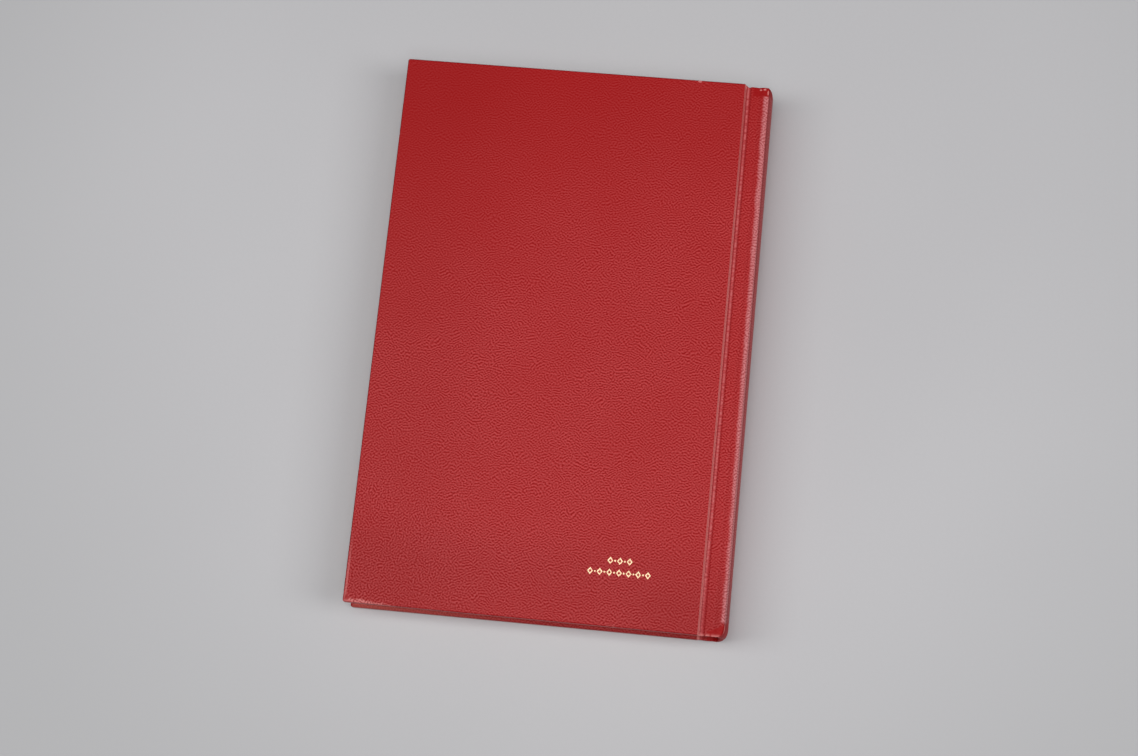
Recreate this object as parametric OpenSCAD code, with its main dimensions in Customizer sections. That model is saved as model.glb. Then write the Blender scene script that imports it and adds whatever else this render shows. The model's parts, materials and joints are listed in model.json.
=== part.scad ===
// Hardback book, case bound, lying on its front cover with the back cover up.
// X runs from the fore edge to the spine, Y from tail to head, Z up.
// The origin is under the middle of the book, on the surface that it lies on.

/* [Cover] */
// Height of the boards from tail to head, with the covering
cover_h = 197; // [160:1:240]
// Width of a board from the fore edge to the joint, with the covering
board_w = 122; // [95:1:150]
// Thickness of the greyboard
board_t = 2.2; // [1.8:0.1:3]
// Thickness of the covering
leather_t = 0.4; // [0.3:0.05:0.5]
// Film of glue under each layer that is pasted on the inside of a board
glue_t = 0.05; // [0.02:0.01:0.1]
// Depth of the covering that is turned in over the inside of the boards
turn_in = 14; // [10:1:18]
// Rounding of the covered board edges
edge_r = 0.6; // [0.5:0.1:0.8]
// Blunting of the board corners, seen from above
corner_r = 1.2; // [1:0.1:2]

/* [Joint] */
// Width of the pressed groove beside the board
groove_w = 2.4; // [2:0.1:3]
// Depth of that groove below the board's face
groove_depth = 1.5; // [1.2:0.1:1.7]
// How far the groove's lip on the spine side lies below the board's face
lip_drop = 0.7; // [0.5:0.05:0.9]
// How far the slack between lip and spine lies below the board's face
slack_drop = 0.95; // [0.8:0.05:1.2]
// Gap at the hinge line between what turns and what stays
hinge_gap = 0.3; // [0.2:0.05:0.4]

/* [Spine] */
// How far the spine stands out beyond the boards' joint edge
spine_out = 10.1; // [9.5:0.1:11]
// Radius of the rounded spine
spine_r = 30; // [26:1:40]
// How far the ridges along the spine lie below the boards' faces
ridge_drop = 0.35; // [0.3:0.05:0.5]
// Rounding of those ridges
ridge_r = 0.8; // [0.7:0.05:1]
// Thickness of the card strip that stiffens the spine
strip_t = 1.2; // [0.8:0.1:1.4]
// Space between the strip and the back of the text block
hollow = 0.35; // [0.2:0.05:0.6]
// How far the spine covering stops short of the boards at the head, where it is rubbed down
head_short = 0.8; // [0:0.1:1.5]
// Rounding of the spine's ends, seen from above
spine_end_r = 1.5; // [1:0.1:2.5]

/* [Text block] */
// Thickness of the leaves between the flyleaves
leaves_t = 13.4; // [11:0.2:18]
// How far the boards stand out beyond the leaves
square_w = 3; // [2:0.5:5]
// Thickness of the endpapers
paper_t = 0.2; // [0.15:0.05:0.3]
// Thickness of the gauze over the back, with its glue
mull_t = 0.4; // [0.3:0.05:0.5]
// Width of the gauze flange on each board
flange_w = 25; // [15:1:35]
// How far the gauze stops short of the turned-in covering
mull_short = 1; // [0.5:0.5:3]
// Thickness of the paper strip over the gauze
lining_t = 0.3; // [0.2:0.05:0.4]
// Rounding of the shoulders of the leaves
shoulder_r = 0.9; // [0.6:0.1:1.2]
// How far a pastedown stays inside the edge of its board
paste_margin = 3.5; // [2.5:0.5:6]
// Radius of the bead of the head and tail bands
bead_r = 0.8; // [0.6:0.1:1]
// Depth of the tape below that bead
band_tape = 9; // [6:1:10]

/* [Hidden] */
$fn = 48;

// Layers under a pastedown: the turn-ins and the gauze lie side by side
inner_t = max(leather_t, glue_t + mull_t) + glue_t;
cover_t = leather_t + board_t + inner_t + paper_t;
book_t = leaves_t + 2 * paper_t + 2 * cover_t;
mid_z = book_t / 2;
book_w = board_w + spine_out;
fore_x = -book_w / 2;
joint_x = fore_x + board_w;
head_y = cover_h / 2;
window_x = fore_x + turn_in;
window_y = head_y - turn_in;
mull_y = window_y - mull_short;
leaf_x = fore_x + square_w;
leaf_y = head_y - square_w;
paste_x = fore_x + paste_margin;
paste_y = head_y - paste_margin;
head_end = head_y - head_short;

// The hinge line runs over the middle of the groove, level with the board's face
hinge_x = joint_x + groove_w / 2;
flap_end = hinge_x - hinge_gap / 2;
stay_start = hinge_x + hinge_gap / 2;
board_edge = joint_x - leather_t;
ramp_end = joint_x + groove_w / 8;

// Depths of the layers below the board's face, on the board and in the groove
board_low = leather_t + board_t;
groove_low = groove_depth + leather_t;
turned_low = board_low + leather_t;
leaf_clear = groove_low + inner_t + paper_t + hinge_gap;

// Circles of the spine, all about one centre
arc_x = joint_x + spine_out - spine_r;
strip_out_r = spine_r - leather_t;
strip_in_r = strip_out_r - strip_t;
turned_r = strip_in_r - leather_t;
lining_r = turned_r - hollow;
band_r = lining_r - lining_t;
back_r = band_r - mull_t;

// Rounded ridges where the covering goes over the ends of the strip
ridge_z = book_t - ridge_drop - ridge_r;
ridge_x = arc_x + sqrt(pow(spine_r - ridge_r, 2) - pow(ridge_z - mid_z, 2));
ridge_angle = atan2(ridge_z - mid_z, ridge_x - arc_x);
strip_half = mid_z - ridge_drop - leather_t;
strip_angle = asin(strip_half / strip_in_r);
strip_end_x = arc_x + strip_in_r * cos(strip_angle);
turned_angle = asin((strip_half - leather_t) / turned_r);
turned_x = arc_x + turned_r * cos(turned_angle);

// Shoulders of the text block, under the slack of the covering
shoulder_z = book_t - slack_drop - leather_t - inner_t - shoulder_r;
shoulder_x = arc_x + sqrt(pow(back_r - shoulder_r, 2) - pow(shoulder_z - mid_z, 2));
shoulder_angle = atan2(shoulder_z - mid_z, shoulder_x - arc_x);

// Centre of the fore edge's hollow, whose ends lie at the flyleaves' faces
hollow_x = leaf_x - sqrt(pow(back_r, 2) - pow(mid_z - cover_t, 2));

// Places across the joint, each with the covering's depth there below the board's face
GROOVE = [stay_start, groove_depth];
LIP = [joint_x + groove_w, lip_drop];
SLACK = [(joint_x + groove_w + strip_end_x) / 2, slack_drop];
RIDGE = [strip_end_x, ridge_drop];
DIP_STEPS = 6;
CORNER_STEPS = 6;
ARC_STEPS = 12;

// Points as x and depth become points as x and z
function down(p, layers) = [for (q = p) [q[0], book_t - q[1] - layers]];
function reversed(p) = [for (i = [len(p) - 1 : -1 : 0]) p[i]];
function with_lower_half(p) =
    concat(p, [for (i = [len(p) - 2 : -1 : 0]) [p[i][0], book_t - p[i][1]]]);
function ring(outer, inner) = concat(with_lower_half(outer), reversed(with_lower_half(inner)));
function arc(x, z, r, from, to, steps, first = 0) =
    [for (i = [first : steps]) let (a = from + (to - from) * i / steps) [x + r * cos(a), z + r * sin(a)]];

// A smooth dip between two places, without its last point
function dip(p, q) = [
    for (i = [0 : DIP_STEPS - 1])
        let (t = i / DIP_STEPS)
            [p[0] + (q[0] - p[0]) * t, p[1] + (q[1] - p[1]) * (1 - cos(180 * t)) / 2]
];
function joint_dips() = concat(dip(GROOVE, LIP), dip(LIP, SLACK));

// Upper half of the covering's section from the hinge line to the middle of the spine, or of a layer under it
function spine_path(inset) = concat(
    down(concat(joint_dips(), dip(SLACK, RIDGE), [RIDGE]), inset),
    arc(ridge_x, ridge_z, ridge_r - inset, 90, ridge_angle, CORNER_STEPS),
    arc(arc_x, mid_z, spine_r - inset, ridge_angle, 0, ARC_STEPS, 1)
);

// The inner face of the covering where it is turned in behind the strip
function turned_path() = concat(
    [for (q = down(concat(joint_dips(), dip(SLACK, RIDGE)), 2 * leather_t)) if (q[0] < turned_x) q],
    arc(arc_x, mid_z, turned_r, turned_angle, 0, ARC_STEPS)
);

// Upper half of the text block's back from the hinge line to its middle, grown by what is glued onto it
function back_path(grown) = concat(
    down(joint_dips(), leather_t + inner_t - grown),
    arc(shoulder_x, shoulder_z, shoulder_r + grown, 90, shoulder_angle, CORNER_STEPS),
    arc(arc_x, mid_z, back_r + grown, shoulder_angle, 0, ARC_STEPS, 1)
);
function back_arc(r) = arc(arc_x, mid_z, r, shoulder_angle, 0, ARC_STEPS);

// Upper face of the flyleaf, which stays clear of the cover's inside as it turns
function leaf_path() = concat(
    down([[leaf_x, cover_t], [board_edge, cover_t], [hinge_x, leaf_clear]], 0),
    [for (q = back_path(0)) if (q[0] > stay_start + hinge_gap / 2) q]
);

// Upper face of the leaves, under the flyleaf as far as the shoulder
function text_path() = concat(
    [for (q = leaf_path()) if (q[0] <= shoulder_x) [q[0], q[1] - paper_t]],
    [for (q = leaf_path()) if (q[0] >= shoulder_x) q]
);

// Path on a board's inside, from x over the board's edge and up into the groove
function inside_path(x, layers) =
    down([[x, board_low], [board_edge, board_low], [ramp_end, groove_low], [flap_end, groove_low]], layers);

module section(y_from, y_to) {
    translate([0, y_to, 0])
        rotate([90, 0, 0])
            linear_extrude(y_to - y_from)
                children();
}

// A sheet of even height that follows a path
module sheet(path, t, y_half) {
    section(-y_half, y_half)
        polygon(concat(path, reversed([for (q = path) [q[0], q[1] - t]])));
}

module block(x_from, x_to, y_half, depth_from, depth_to) {
    translate([x_from, -y_half, book_t - depth_to])
        cube([x_to - x_from, 2 * y_half, depth_to - depth_from]);
}

module to_front() {
    translate([0, 0, book_t])
        mirror([0, 0, 1])
            children();
}

module rounded(w, h, r) {
    translate([r, 0])
        square([w - 2 * r, h]);
    translate([0, r])
        square([w, h - 2 * r]);
    for (x = [r, w - r], y = [r, h - r])
        translate([x, y])
            circle(r);
}

// Plan of a board, whose corners are blunted at the fore edge alone
module board_plan(w, h, r) {
    rounded(w, h, r);
    translate([w / 2, 0])
        square([w / 2, h]);
}

// The greyboard is cut square
module board() {
    translate([fore_x + leather_t, -head_y + leather_t, book_t - board_low])
        linear_extrude(board_t)
            board_plan(board_w - 2 * leather_t, cover_h - 2 * leather_t, corner_r - leather_t);
}

// Section of a covered board, from the fore edge and the inner face, cut off below the groove
module covered_section() {
    difference() {
        rounded(board_w, turned_low, edge_r);
        translate([board_edge - fore_x, 0])
            square([groove_w, turned_low - groove_depth]);
    }
}

// Section of the covering's strip down in the groove, filled as far as its turned-in layer
module strip_section() {
    lap_x = board_edge - leather_t;
    corners = [
        [lap_x, groove_depth], [flap_end, groove_depth], [flap_end, groove_low + leather_t],
        [ramp_end, groove_low + leather_t], [board_edge, turned_low], [lap_x, turned_low]
    ];
    polygon([for (q = corners) [q[0] - fore_x, turned_low - q[1]]]);
}

module along_cover() {
    translate([0, cover_h, 0])
        rotate([90, 0, 0])
            linear_extrude(cover_h)
                children();
}

// The covering goes over the board's edges and down into the groove, and is turned in at three sides
module covering() {
    difference() {
        translate([fore_x, -head_y, book_t - turned_low])
            intersection() {
                union() {
                    along_cover()
                        covered_section();
                    along_cover()
                        strip_section();
                }
                linear_extrude(turned_low)
                    board_plan(board_w + groove_w, cover_h, corner_r);
                rotate([90, 0, 90])
                    linear_extrude(board_w + groove_w)
                        rounded(cover_h, turned_low, edge_r);
            }
        board();
        block(window_x, joint_x + groove_w, window_y, groove_low, cover_t);
    }
}

// The gauze flange on the board's inside
module hinge_cloth() {
    sheet(inside_path(board_edge - flange_w, glue_t), mull_t, mull_y);
}

// The pastedown steps down onto the bare board between the turn-ins and the gauze
module pastedown() {
    step_x = window_x + glue_t;
    flange_x = board_edge - flange_w - glue_t;
    step_y = window_y - glue_t;
    low = board_low + glue_t;
    difference() {
        union() {
            sheet(inside_path(paste_x, inner_t), paper_t, paste_y);
            block(step_x, flange_x, step_y, low, cover_t - paper_t / 2);
        }
        block(step_x + paper_t, flange_x - paper_t, step_y - paper_t, low + paper_t, cover_t + paper_t);
    }
}

module flyleaf() {
    path = [for (q = leaf_path()) if (q[0] <= shoulder_x) q];
    sheet(path, paper_t, leaf_y);
}

// The fore edge is hollow by the same curve as the back is round
module leaves() {
    difference() {
        section(-leaf_y, leaf_y)
            polygon(with_lower_half(text_path()));
        translate([hollow_x, head_y, mid_z])
            rotate([90, 0, 0])
                cylinder(h = cover_h, r = back_r);
    }
}

// Seen from above, the spine's corners are rounded by rubbing
module spine_plan(inside) {
    w = spine_out - inside;
    h = head_end + head_y - 2 * inside;
    translate([joint_x, -head_y + inside, 0])
        linear_extrude(book_t) {
            rounded(w, h, spine_end_r - inside);
            square([w / 2, h]);
        }
}

module strip() {
    outer = concat(
        arc(ridge_x, ridge_z, ridge_r - leather_t, 90, ridge_angle, CORNER_STEPS),
        arc(arc_x, mid_z, strip_out_r, ridge_angle, 0, ARC_STEPS, 1)
    );
    inner = arc(arc_x, mid_z, strip_in_r, strip_angle, 0, ARC_STEPS);
    intersection() {
        section(-head_y + leather_t, head_end - leather_t)
            polygon(ring(outer, inner));
        spine_plan(leather_t);
    }
}

// At head and tail the covering is turned in behind the strip
module spine_skin() {
    intersection() {
        union() {
            section(-head_y, head_end)
                polygon(ring(spine_path(0), spine_path(leather_t)));
            for (ends = [[-head_y, -window_y], [window_y, head_end]])
                section(ends[0], ends[1])
                    polygon(ring(spine_path(0), turned_path()));
        }
        spine_plan(0);
    }
}

// A rolled bead on the end of the leaves, with its tape glued to their back
module band() {
    section(leaf_y - band_tape, leaf_y + bead_r)
        polygon(ring(back_arc(band_r), back_arc(back_r)));
    translate([arc_x, 0, mid_z])
        rotate([90, 0, 0])
            rotate([0, 0, -shoulder_angle])
                rotate_extrude(angle = 2 * shoulder_angle)
                    translate([back_r, -leaf_y - bead_r])
                        circle(bead_r);
}

module text_block() {
    color("antiquewhite") leaves();
}

module front_flyleaf() {
    color("ivory") to_front() flyleaf();
}

module back_flyleaf() {
    color("ivory") flyleaf();
}

module mull() {
    color("gainsboro")
        section(-mull_y, mull_y)
            polygon(ring(back_path(mull_t), back_path(0)));
}

module spine_lining() {
    color("burlywood")
        section(-leaf_y, leaf_y)
            polygon(ring(back_arc(lining_r), back_arc(band_r)));
}

module head_band() {
    color("firebrick") band();
}

module tail_band() {
    color("firebrick") mirror([0, 1, 0]) band();
}

module spine_strip() {
    color("tan") strip();
}

module spine_covering() {
    color("brown")
        difference() {
            spine_skin();
            strip();
        }
}

module front_board() {
    color("darkkhaki") to_front() board();
}

module front_covering() {
    color("brown") to_front() covering();
}

module front_hinge_cloth() {
    color("gainsboro") to_front() hinge_cloth();
}

module front_pastedown() {
    color("ivory") to_front() pastedown();
}

module back_board() {
    color("darkkhaki") board();
}

module back_covering() {
    color("brown") covering();
}

module back_hinge_cloth() {
    color("gainsboro") hinge_cloth();
}

module back_pastedown() {
    color("ivory") pastedown();
}

text_block();
front_flyleaf();
back_flyleaf();
mull();
spine_lining();
head_band();
tail_band();
spine_strip();
spine_covering();
front_board();
front_covering();
front_hinge_cloth();
front_pastedown();
back_board();
back_covering();
back_hinge_cloth();
back_pastedown();
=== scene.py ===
"""Looks of a hardback book in grained red leatherette, lying on its front cover."""

import functools
import json
import math
import random

import bpy
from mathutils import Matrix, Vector

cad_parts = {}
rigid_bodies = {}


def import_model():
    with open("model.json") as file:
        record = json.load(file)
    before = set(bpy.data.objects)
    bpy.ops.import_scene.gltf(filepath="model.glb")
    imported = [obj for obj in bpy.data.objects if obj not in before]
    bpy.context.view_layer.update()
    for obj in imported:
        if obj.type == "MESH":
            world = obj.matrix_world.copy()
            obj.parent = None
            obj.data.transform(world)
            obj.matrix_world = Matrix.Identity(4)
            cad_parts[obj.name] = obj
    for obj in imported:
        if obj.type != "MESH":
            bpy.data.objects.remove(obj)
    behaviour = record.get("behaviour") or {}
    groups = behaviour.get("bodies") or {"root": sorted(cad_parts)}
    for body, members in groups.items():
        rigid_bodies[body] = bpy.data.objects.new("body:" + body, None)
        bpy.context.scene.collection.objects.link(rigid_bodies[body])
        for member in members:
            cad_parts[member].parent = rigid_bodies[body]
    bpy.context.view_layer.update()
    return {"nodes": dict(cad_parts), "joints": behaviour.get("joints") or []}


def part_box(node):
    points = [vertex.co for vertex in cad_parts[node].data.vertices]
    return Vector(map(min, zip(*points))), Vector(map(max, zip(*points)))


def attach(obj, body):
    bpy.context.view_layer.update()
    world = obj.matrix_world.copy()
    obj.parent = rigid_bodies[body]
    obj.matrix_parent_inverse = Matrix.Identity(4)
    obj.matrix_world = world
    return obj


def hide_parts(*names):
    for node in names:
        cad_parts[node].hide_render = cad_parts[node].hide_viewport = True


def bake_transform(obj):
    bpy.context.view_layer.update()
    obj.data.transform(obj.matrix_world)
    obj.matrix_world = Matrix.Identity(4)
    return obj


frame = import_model()

MM = 0.001

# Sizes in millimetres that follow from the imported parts
cover_low, cover_high = (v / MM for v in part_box("back_covering"))
spine_low, spine_high = (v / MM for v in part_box("spine_covering"))
board_low, board_high = (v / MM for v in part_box("back_board"))
leaves_low, leaves_high = (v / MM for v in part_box("text_block"))
paste_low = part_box("back_pastedown")[0] / MM
gauze_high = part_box("back_hinge_cloth")[1] / MM
band_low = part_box("head_band")[0] / MM
HINGE_X = frame["joints"][0]["pos_m"][0] / MM
BOOK_T = cover_high.z
MID_Z = BOOK_T / 2
FORE_X = cover_low.x
HEAD_Y = cover_high.y
SPINE_X = spine_high.x
STAY_X = spine_low.x
SPINE_HEAD_Y = spine_high.y
LEATHER_T = board_low.x - FORE_X
JOINT_X = board_high.x + LEATHER_T
TURNED_DEPTH = BOOK_T - cover_low.z
COVER_T = BOOK_T - paste_low.z

# The construction's own sizes in millimetres
TURN_IN = 14
EDGE_R = 0.6
CORNER_R = 0.7
GROOVE_DEPTH = 1.5
GROOVE_W = 2.4
LIP_DEPTH = 0.7
SLACK_DEPTH = 0.95
RIDGE_DEPTH = 0.35
RIDGE_R = 0.8
SPINE_R = 30
SPINE_END_R = 0.6
STRIP_T = 1.2
HOLLOW = 0.35
LINING_T = 0.3
MULL_T = 0.4
PAPER_T = 0.2
SHOULDER_R = 0.9
BEAD_R = 0.8
THREAD_W = 0.4
STRIPE_W = 2.4

# The spine's circles share one centre
ARC_X = SPINE_X - SPINE_R
STRIP_OUT_R = SPINE_R - LEATHER_T
STRIP_IN_R = STRIP_OUT_R - STRIP_T
TURNED_R = STRIP_IN_R - LEATHER_T
BACK_R = TURNED_R - HOLLOW - LINING_T - MULL_T
RIDGE_Z = BOOK_T - RIDGE_DEPTH - RIDGE_R
RIDGE_X = ARC_X + math.sqrt((SPINE_R - RIDGE_R) ** 2 - (RIDGE_Z - MID_Z) ** 2)
RIDGE_ANGLE = math.atan2(RIDGE_Z - MID_Z, RIDGE_X - ARC_X)
STRIP_HALF = MID_Z - RIDGE_DEPTH - LEATHER_T
STRIP_END_X = ARC_X + STRIP_IN_R * math.cos(math.asin(STRIP_HALF / STRIP_IN_R))
TURNED_ANGLE = math.asin((STRIP_HALF - LEATHER_T) / TURNED_R)
LIP_X = JOINT_X + GROOVE_W
SLACK_X = (LIP_X + STRIP_END_X) / 2

# Depths of what lies inside a cover, and the shoulders of the text block
GLUE_T = 0.05
PASTE_MARGIN = 3.5
FLANGE_W = 25
RAMP_X = JOINT_X + GROOVE_W / 8
BOARD_DEPTH = BOOK_T - board_low.z
INSIDE_T = COVER_T - BOARD_DEPTH - PAPER_T
GROOVE_LOW = GROOVE_DEPTH + LEATHER_T
LEAF_CLEAR = GROOVE_LOW + INSIDE_T + PAPER_T + 0.3
WINDOW_X = FORE_X + TURN_IN
WINDOW_Y = HEAD_Y - TURN_IN
FLANGE_X = board_high.x - FLANGE_W
SHOULDER_Z = BOOK_T - SLACK_DEPTH - LEATHER_T - INSIDE_T - SHOULDER_R
SHOULDER_X = ARC_X + math.sqrt((BACK_R - SHOULDER_R) ** 2 - (SHOULDER_Z - MID_Z) ** 2)
SHOULDER_ANGLE = math.atan2(SHOULDER_Z - MID_Z, SHOULDER_X - ARC_X)
LEAF_X = leaves_low.x
LEAF_Y = leaves_high.y

# What bends at a cover's hinge reaches to this place
BEND_TO = STAY_X

# Colours of the papers and the gauze, each with its shade, and the gauze's pitch
ENDPAPER = (0.8, 0.76, 0.66), (0.74, 0.69, 0.58)
LEAF_PAPER = (0.86, 0.81, 0.69), (0.8, 0.74, 0.6)
KRAFT = (0.5, 0.36, 0.22), (0.42, 0.29, 0.17)
CARD = (0.5, 0.42, 0.3), (0.42, 0.35, 0.24)
GAUZE = (0.74, 0.71, 0.62), (0.5, 0.46, 0.38), 0.9

# Reds of the covering: on its grain's tops, with a painted sheen, and in its hollows, with painted shade;
# pressed smooth, with painted shade where the spine's ends dip; painted shade on the boards' turned edges; a
# painted sheen in the groove; painted shade at the groove's wall and below the ridge
GRAIN_TOP = (0.525, 0.05, 0.053)
SHALLOW_HOLLOW = (0.37, 0.001, 0.0015)
DEEP_HOLLOW = (0.29, 0.001, 0.0015)
BLACK = (0.0, 0.0, 0.0)
RIM_SHADE_RED = (0.05, 0.0, 0.0)
PRESSED_AND_SHADED_RED = (0.33, 0.003, 0.004)
GROOVE_SHEEN_RED = (0.46, 0.07, 0.08)
GROOVE_WALL_SHADE = (0.19, 0.01, 0.014)
UNDER_RIDGE_SHADE = (0.24, 0.006, 0.01)

# Colours of the covering: a painted highlight along the groove, the ridge's band that is partly rubbed and
# partly a painted highlight, what is rubbed pale with a painted highlight on the board's edge in the joint,
# painted light on the tail's edge and turn-ins, and chips
GROOVE_HIGHLIGHT = (0.64, 0.17, 0.17)
RIDGE_RUB_AND_HIGHLIGHT = (0.64, 0.23, 0.24)
RUBBED_AND_ARRIS_HIGHLIGHT = (0.7, 0.22, 0.21)
TURN_IN_LIGHT = (0.75, 0.2, 0.16)
CHIPPED = (0.75, 0.66, 0.55)

# Width of the mesh's rim round the boards, and its rows
RIM = 3
ROW_STEP = 1.5

# Place, reach and pitch of the fine mesh where a cover's inner layers bend
FOLD_MESH = (HINGE_X - 0.7, 1.2, 0.12)


def steps(a, b, count):
    """Evenly spaced values from a to b."""
    return [a + (b - a) * i / count for i in range(count + 1)]


def mix(a, b, t):
    return a + (b - a) * t


def smooth(t):
    """Eases from 0 to 1."""
    t = min(1, max(0, t))
    return t * t * (3 - 2 * t)


def swing(t):
    """Goes from 0 to 1 as half a wave does."""
    return (1 - math.cos(math.pi * t)) / 2


def near(value, centre, width):
    """Close to 1 at the centre, and 0 far from it."""
    return math.exp(-(((value - centre) / width) ** 2))


def dip(p, q, count):
    """Points on a smooth dip from p to q, without q."""
    return [(mix(p[0], q[0], t), mix(p[1], q[1], swing(t))) for t in steps(0, 1, count)[:-1]]


def arc(x, depth, r, start, end, count):
    """Points on an arc as x and depth, its angles in radians from the spine's side upwards."""
    return [(x + r * math.cos(a), depth - r * math.sin(a)) for a in steps(start, end, count)]


def lengths(path):
    """Running length along a path."""
    run = [0]
    for p, q in zip(path, path[1:]):
        run.append(run[-1] + math.dist(p, q))
    return run


def outer_path():
    """Half of the covering's outer section, as x and depth, from the board's rim to the spine's middle."""
    foot_r = 0.35
    board = [(x, 0) for x in steps(FORE_X + RIM, JOINT_X - 3, 78)]
    board += [(x, 0) for x in steps(JOINT_X - 3, JOINT_X - EDGE_R, 4)[1:-1]]
    arris = arc(JOINT_X - EDGE_R, EDGE_R, EDGE_R, math.pi / 2, 0, 6)
    foot = [
        (JOINT_X + foot_r * (1 - math.cos(a)), GROOVE_DEPTH - foot_r * (1 - math.sin(a)))
        for a in steps(0, math.pi / 2, 4)
    ]
    groove = [(x, GROOVE_DEPTH) for x in steps(JOINT_X + foot_r, STAY_X, 8)[1:-1]]
    dips = dip((STAY_X, GROOVE_DEPTH), (LIP_X, LIP_DEPTH), 8)
    dips += dip((LIP_X, LIP_DEPTH), (SLACK_X, SLACK_DEPTH), 8)
    dips += dip((SLACK_X, SLACK_DEPTH), (STRIP_END_X, RIDGE_DEPTH), 8)
    dips += [(x, RIDGE_DEPTH) for x in steps(STRIP_END_X, RIDGE_X, 3)[:-1]]
    ridge = arc(RIDGE_X, BOOK_T - RIDGE_Z, RIDGE_R, math.pi / 2, RIDGE_ANGLE, 7)
    round_back = arc(ARC_X, MID_Z, SPINE_R, RIDGE_ANGLE, 0, 18)[1:]
    return board + arris + foot + groove + dips + ridge + round_back


def inner_path(path):
    """The turned-in layer's inner face, point by point with the outer section."""
    run = lengths(path)
    low = GROOVE_DEPTH + 2 * LEATHER_T
    past_foot = JOINT_X + 0.6
    edge, foot, spine = (
        next(i for i, p in enumerate(path) if p[0] >= x) for x in (JOINT_X - EDGE_R, past_foot, STRIP_END_X)
    )
    inner = []
    for i, (x, depth) in enumerate(path):
        if i <= edge:
            inner.append((x, TURNED_DEPTH))
        elif i < foot:
            share = (run[i] - run[edge]) / (run[foot] - run[edge])
            inner.append((mix(path[edge][0], path[foot][0], share), mix(TURNED_DEPTH, low, smooth(share))))
        elif i < spine:
            inner.append((x, depth + 2 * LEATHER_T))
        else:
            a = TURNED_ANGLE * (run[-1] - run[i]) / (run[-1] - run[spine])
            inner.append((ARC_X + TURNED_R * math.cos(a), MID_Z - TURNED_R * math.sin(a)))
    return inner


def rim_profile(thickness):
    """Round an edge to the end of the turn-in: distance inwards, depth, and length from the mesh's rim."""
    r = min(EDGE_R, thickness / 2)
    profile = [(RIM, 0), (2, 0), (1.2, 0), (0.8, 0)]
    profile += [(r * (1 - math.sin(a)), r * (1 - math.cos(a))) for a in steps(0, math.pi / 2, 5)]
    profile += [(0, thickness / 2)]
    profile += [(r * (1 - math.cos(a)), thickness - r * (1 - math.sin(a))) for a in steps(0, math.pi / 2, 5)]
    profile += [(d, thickness) for d in (1.5, RIM, 6, 10, TURN_IN)]
    return [(*point, length) for point, length in zip(profile, lengths(profile))]


def spine_end(x, y_end):
    """The spine's ends draw in a little towards its middle, as rubbing leaves them."""
    return y_end - SPINE_END_R * smooth(1 - (SPINE_X - x) / SPINE_END_R)


def head_end(x):
    """The spine's covering is a little shorter than the boards at the head."""
    return spine_end(x, mix(HEAD_Y, SPINE_HEAD_Y, smooth((x - JOINT_X) / (STAY_X - JOINT_X))))


def tail_end(x):
    return spine_end(x, HEAD_Y)


def bumped(x, y):
    """The spine's corner at the tail was knocked in: how far, in millimetres."""
    push, from_x, soft_x = 1.3, 62, 2.5
    from_y, reach_y = 94.3, 4.2
    return push * smooth((x - from_x) / soft_x) * max(0, (-y - from_y) / reach_y) ** 3


def dip_depth(x):
    """Depth of the covering's outer face between the hinge line and the slack."""
    if x < LIP_X:
        return mix(GROOVE_DEPTH, LIP_DEPTH, swing(max(0, x - STAY_X) / (LIP_X - STAY_X)))
    return mix(LIP_DEPTH, SLACK_DEPTH, swing(min(1, (x - LIP_X) / (SLACK_X - LIP_X))))


def inside_depth(x, on_board, in_groove):
    """A layer inside the cover runs over the board's edge and up into the groove."""
    return mix(on_board, in_groove, smooth((x - board_high.x) / (RAMP_X - board_high.x)))


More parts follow.
